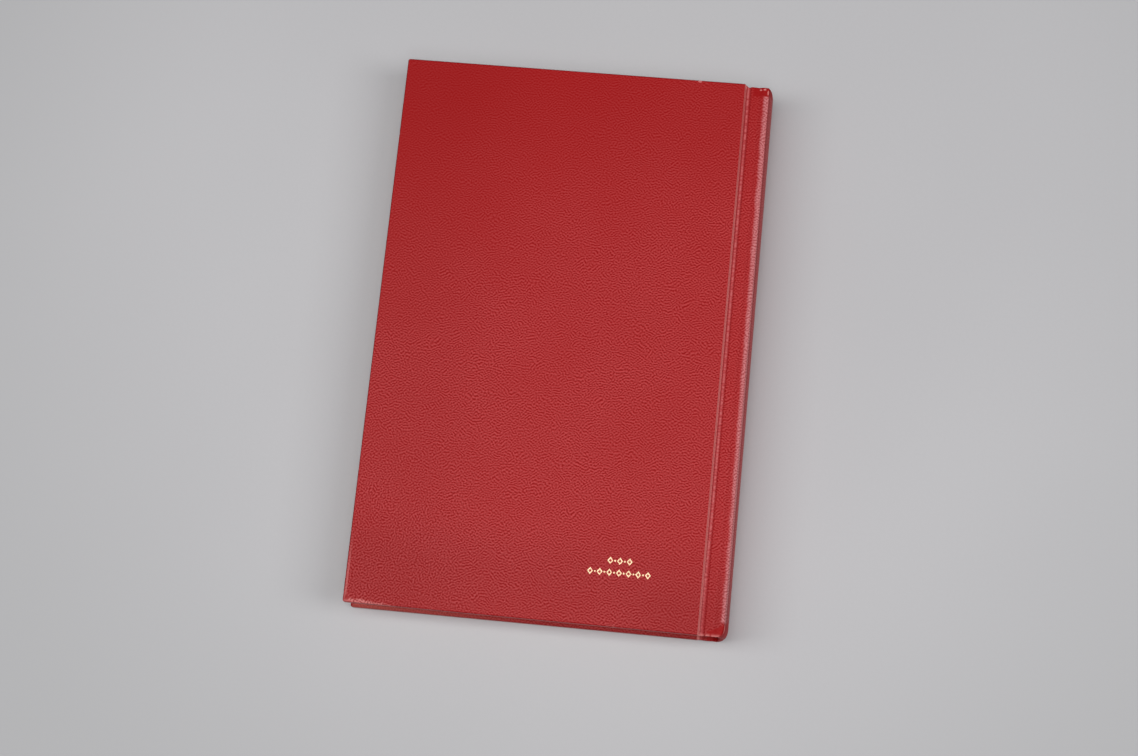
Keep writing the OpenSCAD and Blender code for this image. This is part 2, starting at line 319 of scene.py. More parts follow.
class Sheet:
    """A mesh's vertices and faces in millimetres, and its places on the flat sheet."""

    def __init__(self):
        self.points = []
        self.flat = []
        self.values = []
        self.faces = []

    def add(self, point, flat, **values):
        self.points.append(point)
        self.flat.append(flat)
        self.values.append(values)
        return len(self.points) - 1

    def quad(self, *corners):
        kept = [c for i, c in enumerate(corners) if c != corners[i - 1]]
        if len(kept) > 2:
            self.faces.append(kept)

    def mirrored(self, flat_span=0):
        """The same on the book's other side. Where both are one flat sheet, the span is its width."""
        other = Sheet()
        other.points = [(x, y, BOOK_T - z) for x, y, z in self.points]
        other.flat = [(flat_span - x, y) for x, y in self.flat]
        other.values = self.values
        other.faces = [face[::-1] for face in self.faces]
        return other

    def slab(self, outer, inner):
        """Closes two grids of vertices into a solid. Each is a list of rows of vertex numbers."""
        rows, columns = len(outer) - 1, len(outer[0]) - 1
        for i in range(rows):
            for j in range(columns):
                self.quad(outer[i][j], outer[i + 1][j], outer[i + 1][j + 1], outer[i][j + 1])
                self.quad(inner[i][j], inner[i][j + 1], inner[i + 1][j + 1], inner[i + 1][j])
        for j in range(columns):
            self.quad(outer[0][j + 1], inner[0][j + 1], inner[0][j], outer[0][j])
            self.quad(outer[rows][j], inner[rows][j], inner[rows][j + 1], outer[rows][j + 1])
        for i in range(rows):
            self.quad(outer[i][0], inner[i][0], inner[i + 1][0], outer[i + 1][0])
            self.quad(outer[i + 1][columns], inner[i + 1][columns], inner[i][columns], outer[i][columns])

    def piece(self, name, thickness=0, merge=0.0005):
        """Makes the Blender object, with the sheet's thickness below its faces."""
        mesh = bpy.data.meshes.new(name)
        mesh.from_pydata([Vector(p) * MM for p in self.points], [], self.faces)
        flat = mesh.attributes.new("flat", "FLOAT_VECTOR", "POINT")
        flat.data.foreach_set("vector", [c for x, y in self.flat for c in (x, y, 0)])
        for key in self.values[0] if self.values else ():
            attribute = mesh.attributes.new(key, "FLOAT", "POINT")
            attribute.data.foreach_set("value", [v[key] for v in self.values])
        thing = bpy.data.objects.new(name, mesh)
        bpy.context.scene.collection.objects.link(thing)
        weld = thing.modifiers.new("weld", "WELD")
        weld.merge_threshold = merge * MM
        if thickness:
            solid = thing.modifiers.new("thickness", "SOLIDIFY")
            solid.thickness = thickness * MM
            solid.offset = -1
            solid.use_quality_normals = True
        return applied(thing)


def applied(thing):
    """Turns an object's modifiers into its mesh."""
    depsgraph = bpy.context.evaluated_depsgraph_get()
    mesh = bpy.data.meshes.new_from_object(thing.evaluated_get(depsgraph), depsgraph=depsgraph)
    thing.modifiers.clear()
    thing.data = mesh
    mesh.name = thing.name
    for polygon in mesh.polygons:
        polygon.use_smooth = True
    return thing


def edge_rub(length):
    """How much an edge is rubbed, from the length out from the mesh's rim and round the edge."""
    middle, width = RIM - 0.1, 0.5
    return near(length, middle, width)


def leatherette_sheet():
    """Half of the covering: one sheet from the fore edge's turn-in to the middle of the spine."""
    sheet = Sheet()
    path = outer_path()
    inner = inner_path(path)
    run = [RIM + r for r in lengths(path)]
    last = len(path) - 1
    rows = round((HEAD_Y + SPINE_HEAD_Y - 2 * RIM) / ROW_STEP)

    def place(x, y, depth):
        return (x - bumped(x, y), y, BOOK_T - depth)

    grid = []
    for i, (x, depth) in enumerate(path):
        low, high = RIM - tail_end(x), head_end(x) - RIM
        grid.append([
            sheet.add(place(x, y, depth), (run[i], y), edge=0) for y in steps(low, high, rows)
        ])
    for i in range(last):
        for j in range(rows):
            sheet.quad(grid[i][j], grid[i + 1][j], grid[i + 1][j + 1], grid[i][j + 1])

    def end_strip(i, side):
        """The rim's vertices at one end of one column: side is 1 at the head and -1 at the tail."""
        (x, depth), (inner_x, inner_depth) = path[i], inner[i]
        y_end = head_end(x) if side > 0 else tail_end(x)
        thickness = math.dist(path[i], inner[i])
        strip = [grid[i][rows if side > 0 else 0]]
        for d, h, length in rim_profile(thickness)[1:]:
            share = h / thickness
            px = mix(x, inner_x, share)
            if h > thickness / 2:
                px = max(px, FORE_X + d)
            y = side * (y_end - d)
            flat = (run[i], side * (y_end - RIM + length))
            point = place(px, y, mix(depth, inner_depth, share))
            strip.append(sheet.add(point, flat, edge=edge_rub(length)))
        return strip

    profile = rim_profile(TURNED_DEPTH)

    def fore_strip(j):
        y = sheet.points[grid[0][j]][1]
        strip = [grid[0][j]]
        for d, h, length in profile[1:]:
            limit = HEAD_Y - d if h > TURNED_DEPTH / 2 else HEAD_Y
            place_y = min(limit, max(-limit, y))
            flat = (RIM - length, y)
            strip.append(sheet.add(place(FORE_X + d, place_y, h), flat, edge=edge_rub(length)))
        return strip

    def corner_strip(turn, side):
        """Round a board's corner: turn is 0 beside the head or tail and 1 beside the fore edge."""
        a = turn * math.pi / 2
        strip = [grid[0][rows if side > 0 else 0]]
        for d, h, length in profile[1:]:
            r = max(0, CORNER_R - d)
            back = max(CORNER_R, d)
            x = FORE_X + back - r * math.sin(a)
            y = HEAD_Y - back + r * math.cos(a)
            flat = (RIM - length * math.sin(a), side * (HEAD_Y - RIM + length * math.cos(a)))
            strip.append(sheet.add(place(x, side * y, h), flat, edge=edge_rub(length)))
        return strip

    turns = steps(0, 1, 6)
    ring = [end_strip(i, 1) for i in range(last, -1, -1)]
    ring += [corner_strip(t, 1) for t in turns]
    ring += [fore_strip(j) for j in range(rows, -1, -1)]
    ring += [corner_strip(t, -1) for t in reversed(turns)]
    ring += [end_strip(i, -1) for i in range(last + 1)]
    for a, b in zip(ring, ring[1:]):
        for k in range(len(profile) - 1):
            sheet.quad(a[k], a[k + 1], b[k + 1], b[k])
    return sheet


def back_x(z):
    """Where the text block's rounded back ends at a height, its shoulders rounded."""
    up = abs(z - MID_Z)
    if up > BACK_R * math.sin(SHOULDER_ANGLE):
        return SHOULDER_X + math.sqrt(max(0, SHOULDER_R**2 - (up - (SHOULDER_Z - MID_Z)) ** 2))
    return ARC_X + math.sqrt(BACK_R**2 - up**2)


def fore_x(z):
    """The fore edge is hollow by the back's own curve."""
    reach = MID_Z - COVER_T
    centre = LEAF_X - math.sqrt(BACK_R**2 - reach**2)
    return centre + math.sqrt(BACK_R**2 - (z - MID_Z) ** 2)


def leaves_half(x):
    """Half the thickness of the leaves: they swell under the joint to the shoulder."""
    if x <= board_high.x:
        depth = COVER_T + PAPER_T
    elif x <= HINGE_X:
        depth = mix(COVER_T, LEAF_CLEAR, (x - board_high.x) / (HINGE_X - board_high.x)) + PAPER_T
    else:
        past_hinge = 0.4
        before_shoulder = 1
        over = smooth((x - HINGE_X) / past_hinge)
        depth = mix(LEAF_CLEAR, dip_depth(x) + LEATHER_T + INSIDE_T, over) + PAPER_T
        depth -= PAPER_T * smooth((x - SHOULDER_X + before_shoulder) / before_shoulder)
    return MID_Z - depth


def leaves_sheet():
    """The block of leaves: each leaf's edge stands out a little between two fine grooves."""
    leaf_count = 88
    groove = 0.05
    uneven = 0.035
    draw = random.Random(7)
    offsets = [draw.uniform(0, uneven) for _ in range(leaf_count)]
    phases = [draw.uniform(0, 2 * math.pi) for _ in range(leaf_count)]
    levels = 2 * leaf_count
    along = steps(0, 0.93, 12) + steps(0.93, 1, 14)[1:]
    rows = 48
    sheet = Sheet()
    made = {}

    def vertex(a, b, c):
        if (a, b, c) in made:
            return made[a, b, c]
        t = 2 * c / levels - 1
        top_half = leaves_half(SHOULDER_X)
        z_fore = MID_Z + t * leaves_half(LEAF_X)
        z_back = MID_Z + t * top_half
        x = mix(fore_x(z_fore), back_x(z_back), along[a])
        z = MID_Z + t * leaves_half(min(x, SHOULDER_X))
        y = mix(-LEAF_Y, LEAF_Y, b / rows)
        leaf = min(leaf_count - 1, c // 2)
        inset = groove if c % 2 == 0 else offsets[leaf] * (1 + 0.5 * math.sin(y / 31 + phases[leaf]))
        if c in (0, levels):
            inset = uneven
        if a == 0:
            x += inset
        if b in (0, rows):
            y -= math.copysign(inset, y)
        made[a, b, c] = sheet.add((x, y, z), (x, y))
        return made[a, b, c]

    def face(turned, *places):
        corners = [vertex(*place) for place in places]
        sheet.quad(*(corners[::-1] if turned else corners))

    ends = len(along) - 1
    for a in range(ends):
        for c in range(levels):
            for b, turned in ((0, False), (rows, True)):
                face(turned, (a, b, c), (a + 1, b, c), (a + 1, b, c + 1), (a, b, c + 1))
        for b in range(rows):
            for c, turned in ((0, True), (levels, False)):
                face(turned, (a, b, c), (a + 1, b, c), (a + 1, b + 1, c), (a, b + 1, c))
    for b in range(rows):
        for c in range(levels):
            for a, turned in ((0, True), (ends, False)):
                face(turned, (a, b, c), (a, b + 1, c), (a, b + 1, c + 1), (a, b, c + 1))
    return sheet


def spread(low, high, step, fine):
    """Values from low to high in coarse steps, with fine ones round the given places."""
    values = set(steps(low, high, round((high - low) / step)))
    for centre, reach, pitch in fine:
        count = round(2 * reach / pitch)
        values |= {v for v in steps(centre - reach, centre + reach, count) if low < v < high}
    kept = []
    for v in sorted(values):
        if not kept or v - kept[-1] > 0.02:
            kept.append(v)
    kept[-1] = high
    return kept


def layer_sheet(x_from, x_to, y_half, depth_at, fine_x, fine_y=()):
    """A flat layer inside the back cover, from its upper face's depth at each place."""
    sheet = Sheet()
    xs = spread(x_from, x_to, 4, fine_x)
    ys = spread(-y_half, y_half, 6, fine_y)
    grid = [[sheet.add((x, y, BOOK_T - depth_at(x, y)), (x, y)) for y in ys] for x in xs]
    for a, b in zip(grid, grid[1:]):
        for j in range(len(ys) - 1):
            sheet.quad(a[j], b[j], b[j + 1], a[j + 1])
    return sheet


def pastedown_sheet():
    """The pastedown lies over the turn-ins, the gauze and the bare board between them."""
    step_w = 0.7
    ridge_mesh = (1, 0.25)

    def depth_at(x, y):
        inside = smooth((x - WINDOW_X) / step_w) * smooth((FLANGE_X - x) / step_w)
        inside *= smooth((WINDOW_Y - abs(y)) / step_w)
        on_board = BOARD_DEPTH + mix(INSIDE_T, GLUE_T, inside)
        return inside_depth(x, on_board, GROOVE_LOW + INSIDE_T)

    return layer_sheet(
        FORE_X + PASTE_MARGIN, BEND_TO, HEAD_Y - PASTE_MARGIN, depth_at,
        [(WINDOW_X, *ridge_mesh), (FLANGE_X, *ridge_mesh), FOLD_MESH],
        [(-WINDOW_Y, *ridge_mesh), (WINDOW_Y, *ridge_mesh)],
    )


def gauze_sheet():
    """The gauze flange on the inside of the board, over the groove to the text block."""
    return layer_sheet(
        FLANGE_X, BEND_TO, gauze_high.y,
        lambda x, y: inside_depth(x, BOARD_DEPTH + GLUE_T, GROOVE_LOW + GLUE_T),
        [FOLD_MESH],
    )


def strip_sheet():
    """The card strip inside the spine, knocked in at the tail with its covering."""
    sheet = Sheet()
    inset = LEATHER_T + 0.05
    above_knock = -92
    grids = []
    for r in (STRIP_OUT_R, STRIP_IN_R):
        half = math.asin(STRIP_HALF / r)
        columns = []
        for a in steps(half, -half, 28):
            outside = ARC_X + SPINE_R * math.cos(a)
            x, z = ARC_X + r * math.cos(a), MID_Z + r * math.sin(a)
            ys = steps(inset - tail_end(outside), above_knock, 8) + [0, head_end(outside) - inset]
            columns.append([sheet.add((x - bumped(x, y), y, z), (a * r, y)) for y in ys])
        grids.append(columns)
    sheet.slab(*grids)
    return sheet


def band_sheet():
    """The head band: a bead wound with thread at the ends of the leaves, on a tape glued to their back."""
    columns, around = 176, 16
    lean, swell = 0.18, 0.05
    tape_clear = 0.02
    sheet = Sheet()
    angles = steps(-SHOULDER_ANGLE, SHOULDER_ANGLE, columns)
    y_middle = LEAF_Y + BEAD_R
    tube = []
    for a in angles:
        u = a * BACK_R
        ring = []
        for i in range(around):
            turn = 2 * math.pi * i / around
            slant = u + lean * turn
            r = BEAD_R * (1 - swell + swell * abs(math.sin(math.pi * slant / THREAD_W)))
            out = BACK_R + r * math.cos(turn)
            point = (ARC_X + out * math.cos(a), y_middle + r * math.sin(turn), MID_Z + out * math.sin(a))
            ring.append(sheet.add(point, (slant, turn)))
        tube.append(ring)
    for p, q in zip(tube, tube[1:]):
        for i in range(around):
            j = (i + 1) % around
            sheet.quad(p[i], p[j], q[j], q[i])
    sheet.faces.append(tube[0][::-1])
    sheet.faces.append(tube[-1])
    tape = []
    for r in (BACK_R + MULL_T, BACK_R + tape_clear):
        face = []
        for a in angles[::8][::-1]:
            x, z = ARC_X + r * math.cos(a), MID_Z + r * math.sin(a)
            face.append([sheet.add((x, y, z), (a * r, y)) for y in (band_low.y, y_middle)])
        tape.append(face)
    sheet.slab(*tape)
    return sheet


def foil_sheet():
    """Two rows of outlined lozenges with dots between them, stamped on the back cover."""
    centre_x, rows = 27.35, ((-76.0, 3), (-80.1, 7))
    pitch, half_w, half_h, stroke, dot = 3.3, 1.0, 1.25, 0.5, 0.33
    proud, sunk = 0.012, 0.03
    sheet = Sheet()

    def outline(x, y, w, h, z, sides=4):
        return [
            sheet.add((x + w * math.cos(a), y + h * math.sin(a), z), (x, y))
            for a in steps(0, 2 * math.pi, sides)[:-1]
        ]

    def walls(low, high):
        for i in range(len(low)):
            j = (i + 1) % len(low)
            sheet.quad(low[i], low[j], high[j], high[i])

    for y, count in rows:
        for n in range(count):
            x = centre_x + (n - (count - 1) / 2) * pitch
            top, bottom = BOOK_T + proud, BOOK_T - sunk
            inner_w, inner_h = half_w - stroke, half_h - stroke * half_h / half_w
            rings = [
                outline(x, y, half_w, half_h, bottom), outline(x, y, half_w, half_h, top),
                outline(x, y, inner_w, inner_h, top), outline(x, y, inner_w, inner_h, bottom),
            ]
            for low, high in zip(rings, rings[1:] + rings[:1]):
                walls(low, high)
            if n < count - 1:
                low = outline(x + pitch / 2, y, dot, dot, bottom, 12)
                high = outline(x + pitch / 2, y, dot, dot, top, 12)
                walls(low, high)
                sheet.faces.append(high)
                sheet.faces.append(low[::-1])
    return sheet


def shader_node(tree, kind, **settings):
    node = tree.nodes.new("ShaderNode" + kind)
    for key, value in settings.items():
        setattr(node, key, value)
    return node


class Material:
    """Small helpers for writing a node tree as expressions."""

    def __init__(self, name, **sockets):
        self.material = bpy.data.materials.new(name)
        self.material.use_nodes = True
        self.tree = self.material.node_tree
        self.shader = self.tree.nodes["Principled BSDF"]
        for key, value in sockets.items():
            self.shader.inputs[key.replace("_", " ")].default_value = value

    def link(self, value, socket):
        if isinstance(value, (int, float)):
            socket.default_value = value
        elif isinstance(value, tuple):
            socket.default_value = value if len(value) == len(socket.default_value) else (*value, 1)
        else:
            self.tree.links.new(value, socket)

    def math(self, operation, a, b=0.0):
        node = shader_node(self.tree, "Math", operation=operation)
        for value, socket in zip((a, b), node.inputs):
            self.link(value, socket)
        return node.outputs[0]

    def add(self, a, b):
        return self.math("ADD", a, b)

    def sub(self, a, b):
        return self.math("SUBTRACT", a, b)

    def mul(self, a, b):
        return self.math("MULTIPLY", a, b)

    def most(self, a, b):
        return self.math("MAXIMUM", a, b)

    def ramp(self, value, low, high, to_low=0.0, to_high=1.0, smooth_ends=True):
        node = shader_node(self.tree, "MapRange", clamp=True)
        node.interpolation_type = "SMOOTHSTEP" if smooth_ends else "LINEAR"
        for amount, socket in zip((value, low, high, to_low, to_high), node.inputs):
            self.link(amount, socket)
        return node.outputs[0]

    def attribute(self, name, output="Fac"):
        return shader_node(self.tree, "Attribute", attribute_name=name).outputs[output]

    def objects(self):
        return shader_node(self.tree, "TexCoord").outputs["Object"]

    def place(self, bent=False):
        """A place in millimetres: on the flat sheet for a layer that bends, or else in the book."""
        if bent:
            return self.attribute("flat", "Vector")
        return self.scaled(self.objects(), 1000, 1000, 1000)

    def scaled(self, vector, x, y, z):
        node = shader_node(self.tree, "VectorMath", operation="MULTIPLY")
        self.tree.links.new(vector, node.inputs[0])
        node.inputs[1].default_value = (x, y, z)
        return node.outputs[0]

    def parts(self, vector):
        node = shader_node(self.tree, "SeparateXYZ")
        self.tree.links.new(vector, node.inputs[0])
        return node.outputs

    def vector(self, x, y, z=0.0):
        node = shader_node(self.tree, "CombineXYZ")
        for value, socket in zip((x, y, z), node.inputs):
            self.link(value, socket)
        return node.outputs[0]

    def noise(self, vector, scale, detail=2.0, roughness=0.5, output="Fac"):
        node = shader_node(self.tree, "TexNoise")
        self.tree.links.new(vector, node.inputs["Vector"])
        node.inputs["Scale"].default_value = scale
        node.inputs["Detail"].default_value = detail
        node.inputs["Roughness"].default_value = roughness
        return node.outputs[output]

    def wrinkles(self, vector, scale, frequency, spread):
        """Short wavy lines across Y. A larger spread lets them turn further."""
        node = shader_node(self.tree, "TexGabor", gabor_type="2D")
        self.tree.links.new(vector, node.inputs["Vector"])
        node.inputs["Scale"].default_value = scale
        node.inputs["Frequency"].default_value = frequency
        node.inputs["Anisotropy"].default_value = 1 - spread
        node.inputs["Orientation"].default_value = math.pi / 2
        return node.outputs["Value"]

    def warped(self, vector, scale, amount):
        """The vector pushed about by noise."""
        push = shader_node(self.tree, "VectorMath", operation="MULTIPLY_ADD")
        self.tree.links.new(self.noise(vector, scale, 1.0, output="Color"), push.inputs[0])
        push.inputs[1].default_value = (amount, amount, amount)
        self.tree.links.new(vector, push.inputs[2])
        return push.outputs[0]

    def colour(self, factor, a, b):
        node = shader_node(self.tree, "Mix", data_type="RGBA")
        self.link(factor, node.inputs["Factor"])
        self.link(a, node.inputs[6])
        self.link(b, node.inputs[7])
        return node.outputs[2]

    def bump(self, height, distance, strength=1.0):
        node = shader_node(self.tree, "Bump")
        node.inputs["Strength"].default_value = strength
        node.inputs["Distance"].default_value = distance
        self.tree.links.new(height, node.inputs["Height"])
        self.tree.links.new(node.outputs[0], self.shader.inputs["Normal"])

    def paint(self, colour, roughness=None):
        self.link(colour, self.shader.inputs["Base Color"])
        if roughness is not None:
            self.link(roughness, self.shader.inputs["Roughness"])


class Covering(Material):
    """The leatherette, where it is worn, and where light and shade are painted on it. Run and along are
    places in millimetres on its flat sheet.
    """

    def __init__(self):
        super().__init__("leatherette", Specular_IOR_Level=0.12, IOR=1.5)
        self.flat = self.attribute("flat", "Vector")
        self.edge = self.attribute("edge")
        self.across, self.along, _ = self.parts(self.flat)
        self.path = outer_path()
        self.distance = lengths(self.path)
        self.middle = RIM + self.distance[-1]
        self.run = self.sub(self.middle, self.math("ABSOLUTE", self.sub(self.across, self.middle)))
        self.fine = self.noise(self.flat, 1.6, 3.0, 0.65)
        self.ragged = self.mul(self.sub(self.fine, 0.5), 2.2)
        broad = self.noise(self.scaled(self.flat, 1.0, 0.5, 1.0), 0.3, 2.0)
        self.wander = self.mul(self.sub(broad, 0.5), 3.0)

    def run_at(self, x):
        """The run of the place where the outer section first reaches X."""
        return RIM + next(d for d, p in zip(self.distance, self.path) if p[0] >= x)

    def line(self, x, half_width, nearer=0.0):
        """A soft line along the book, drawn nearer to the fore edge by the last value."""
        away = self.math("ABSOLUTE", self.sub(self.add(self.run, nearer), self.run_at(x)))
        return self.ramp(away, 0.0, half_width, 1.0, 0.0)

    def between(self, value, low, high, soft):
        return self.mul(self.ramp(value, low - soft, low), self.ramp(value, high, high + soft, 1.0, 0.0))

    def spot(self, centre, y, half_w, half_h):
        """A ragged spot."""
        side = self.mul(self.sub(self.across, centre), 1 / half_w)
        up = self.mul(self.sub(self.along, y), 1 / half_h)
        reach = self.add(self.mul(side, side), self.mul(up, up))
        return self.ramp(self.add(reach, self.ragged), 0.4, 1.3, 1.0, 0.0)

    def most_of(self, *masks):
        return functools.reduce(self.most, masks)

    def grain(self):
        """The embossing: waves with some pebbles among them, and more towards the tail's fore edge corner."""
        waves = self.wrinkles(self.warped(self.flat, 0.16, 2.2), 0.45, 2.35, 0.6)
        pebbles = self.wrinkles(self.warped(self.flat, 0.3, 1.2), 0.62, 1.7, 0.95)
        fewest, most = 0.35, 0.75
        pebbled = self.mul(self.ramp(self.run, 75, 15), self.ramp(self.along, -20, -80, fewest, most))
        pebbled = self.most(pebbled, fewest)
        relief = self.add(self.mul(waves, self.sub(1.0, pebbled)), self.mul(pebbles, pebbled))
        relief = self.add(relief, self.mul(self.sub(self.fine, 0.5), 0.15))
        return self.ramp(relief, 0.385, 0.615, smooth_ends=False)

    def grain_depth(self):
        """The grain, and with it its painted sheen and shade, is faint at the head's fore edge corner, and
        weaker at the tail beside the joint.
        """
        cloudy = self.ramp(self.noise(self.flat, 0.035, 2.0), 0.3, 0.7, 0.85, 1.0)
        slant, slant_from = 0.45, 66
        from_corner = self.sub(self.along, self.mul(self.sub(self.run, slant_from), slant))
        depth = self.mul(self.ramp(from_corner, 105, 20, 0.33, 1.0, False), cloudy)
        beside_joint = self.mul(self.ramp(self.run, 90, 115), self.ramp(self.along, -78, -92, 0.0, 0.2))
        return self.mul(depth, self.sub(1.0, beside_joint))

    def margins(self):
        """How much darker the cover is made towards the fore edge, the head, the tail and beside the joint at
        the tail.
        """
        fore = self.ramp(self.run, 60, 10, 0.0, 0.07)
        head = self.ramp(self.along, 50, 85, 0.0, 0.03)
        tail = self.ramp(self.along, -62, -84, 0.0, 0.09)
        beside_joint = self.mul(self.ramp(self.run, 85, 115), self.ramp(self.along, -78, -92, 0.0, 0.06))
        return self.add(self.add(fore, tail), self.add(head, beside_joint))

    def rim(self):
        """Painted shade on the turn of the boards' edges at the head and the fore edge."""
        on_board = self.ramp(self.run, self.run_at(JOINT_X) - 1, self.run_at(JOINT_X), 1.0, 0.0)
        head = self.mul(self.between(self.along, 98.35, 98.8, 0.15), on_board)
        return self.most(head, self.between(self.run, -0.35, 0.1, 0.15))

    # The groove: smoother, with a painted sheen
    def groove(self):
        return self.between(self.run, self.run_at(STAY_X) - 0.6, self.run_at(STAY_X) + 0.5, 0.5)

    def pressed_ends(self):
        """The spine's ends are pressed smooth, with painted shade where they dip in: straight across at the
        head and slanting at the tail.
        """
        on_spine = self.ramp(self.run, self.run_at(LIP_X), self.run_at(LIP_X) + 1)
        head = self.ramp(self.add(self.along, self.mul(self.wander, 0.6)), 93.8, 94.9)
        slope, tail_y = 0.42, 97.0
        climb = self.mul(self.sub(self.run, self.run_at(LIP_X)), slope)
        slanted = self.sub(climb, self.add(self.along, tail_y))
        tail = self.ramp(self.add(slanted, self.mul(self.wander, 0.2)), -0.3, 0.4)
        return self.mul(on_spine, self.most(head, tail))

    def ridge(self, grain):
        """The ridge's pale band, partly rubbing and partly a painted highlight, and the painted shade of the
        dark line below it. Both lie lower towards the tail.
        """
        low = self.ramp(self.along, 80, -50, self.run_at(62.8), self.run_at(63.3), False)
        low = self.add(low, self.mul(self.wander, 0.4))
        high = self.ramp(self.along, 80, -50, self.run_at(64.4), self.run_at(64.9), False)
        past = self.sub(self.run, high)
        pale = self.mul(self.ramp(self.sub(self.run, low), -0.7, 0.6), self.ramp(past, -0.3, 0.3, 1.0, 0.0))
        pale = self.mul(pale, self.between(self.along, -93.2, 93.8, 0.8))
        broken = self.ramp(self.add(grain, self.mul(self.ragged, 0.3)), 0.1, 0.8, 0.35, 1.0)
        below = self.mul(self.between(past, 0.3, 1.0, 0.25), self.ramp(self.fine, 0.2, 0.8, 1.0, 0.6))
        return self.mul(pale, broken), below

    def joint_edge(self):
        """The pale line on the board's edge, down into the groove: partly rubbing and partly a painted
        highlight.
        """
        line = self.between(self.run, self.run_at(JOINT_X - 0.25), self.run_at(JOINT_X + 0.15), 0.25)
        broken = self.ramp(self.fine, 0.25, 0.55, 0.6, 1.0)
        return self.mul(line, self.mul(broken, self.ramp(self.along, 85, 40, 0.7, 1.0)))

    def joint_line(self):
        """The dotted painted highlight in the groove, which nears the board at both ends."""
        nearer = self.add(
            self.ramp(self.along, 82, 94, 0.0, 0.2, False), self.ramp(self.along, -55, -80, 0.0, 0.4)
        )
        dots = self.noise(self.scaled(self.flat, 0.3, 1.1, 1.0), 1.0, 1.0)
        dotted = self.mul(self.ramp(dots, 0.35, 0.65, 0.2, 1.0), self.ramp(self.along, -78, -92, 1.0, 0.4))
        return self.mul(self.line(JOINT_X + 1.2, 0.65, nearer), dotted)

    def worn_tail(self, grain):
        """The tail edge of the cover is worn near its fore edge corner, and most at the corner."""
        from_tail = self.add(self.along, 98.4)
        patchy = self.noise(self.vector(self.mul(self.across, 0.4), 7.0), 1.0, 2.0)
        width = self.ramp(patchy, 0.35, 0.65, 0.5, 1.0, False)
        width = self.mul(width, self.ramp(self.across, 4, 17, 1.9, 0.4, False))
        worn = self.ramp(self.add(self.sub(width, from_tail), self.mul(self.ragged, 0.3)), -0.1, 0.5)
        near_corner = self.between(self.across, 2.5, 16, 3)
        worn = self.mul(worn, self.mul(near_corner, self.ramp(from_tail, -0.4, -0.1)))
        return self.mul(worn, self.ramp(grain, 0.1, 0.8, 0.3, 1.0))

    def worn_spine_tail(self):
        """Dashes on the edge of the spine's tail."""
        dashes = self.noise(self.vector(self.mul(self.across, 0.6), 3.0), 1.0, 1.0)
        on_rim = self.mul(self.edge, self.ramp(self.along, -96, -97, 0.0, 1.0))
        on_spine = self.between(self.across, self.run_at(JOINT_X) + 0.5, self.run_at(63.5), 0.8)
        return self.mul(self.mul(on_rim, self.ramp(dashes, 0.4, 0.5, 0.15, 1.0)), on_spine)

    def spots(self):
        """Rubbed spots at the ends of the joint and the ridge, at the head and at two corners."""
        joint = self.run_at(JOINT_X)
        places = (
            (joint + 0.3, 97.6, 0.9, 1.5),
            (self.run_at(62.6), 96.9, 0.5, 0.4),
            (self.run_at(61.2), 96.7, 0.5, 0.3),
            (self.run_at(64.0), 95.7, 0.3, 0.9),
            (self.run_at(64.6), -95.6, 0.3, 1.8),
            (joint - 0.2, -98.1, 0.5, 0.7),
            (self.run_at(38.4), 98.1, 0.7, 0.5),
            (0.9, 97.6, 0.5, 0.5),
            (0.9, -97.6, 0.6, 0.6),
        )
        return self.most_of(*(self.spot(*place) for place in places))

    def chip(self):
        """A small chip at the tail of the spine's other edge."""
        return self.spot(2 * self.middle - self.run_at(61.4), -98.4, 0.45, 0.5)

    def rubbed(self, grain):
        """All that is rubbed pale, with the painted highlight on the board's edge in the joint, apart from
        the ridge and the line in the groove.
        """
        fore_line = self.between(self.across, 0.6, 1.0, 0.3)
        fore_line = self.mul(fore_line, self.ramp(self.along, -72, -90, 0.0, 0.6))
        sparse = self.mul(self.edge, self.ramp(self.noise(self.flat, 0.35, 3.0, 0.6), 0.6, 0.72, 0.0, 0.3))
        return self.most_of(
            self.mul(self.joint_edge(), 0.85),
            self.mul(self.worn_spine_tail(), 0.8),
            self.mul(self.spots(), 0.9),
            self.mul(self.worn_tail(grain), 0.8),
            self.mul(fore_line, 0.6),
            sparse,
        )

    def tail_turn_in_light(self):
        """Painted light on the tail's edge and turn-ins, more towards the fore edge."""
        return self.mul(self.ramp(self.along, -98.9, -100.5), self.ramp(self.run, 5, 70, 0.32, 0.03))


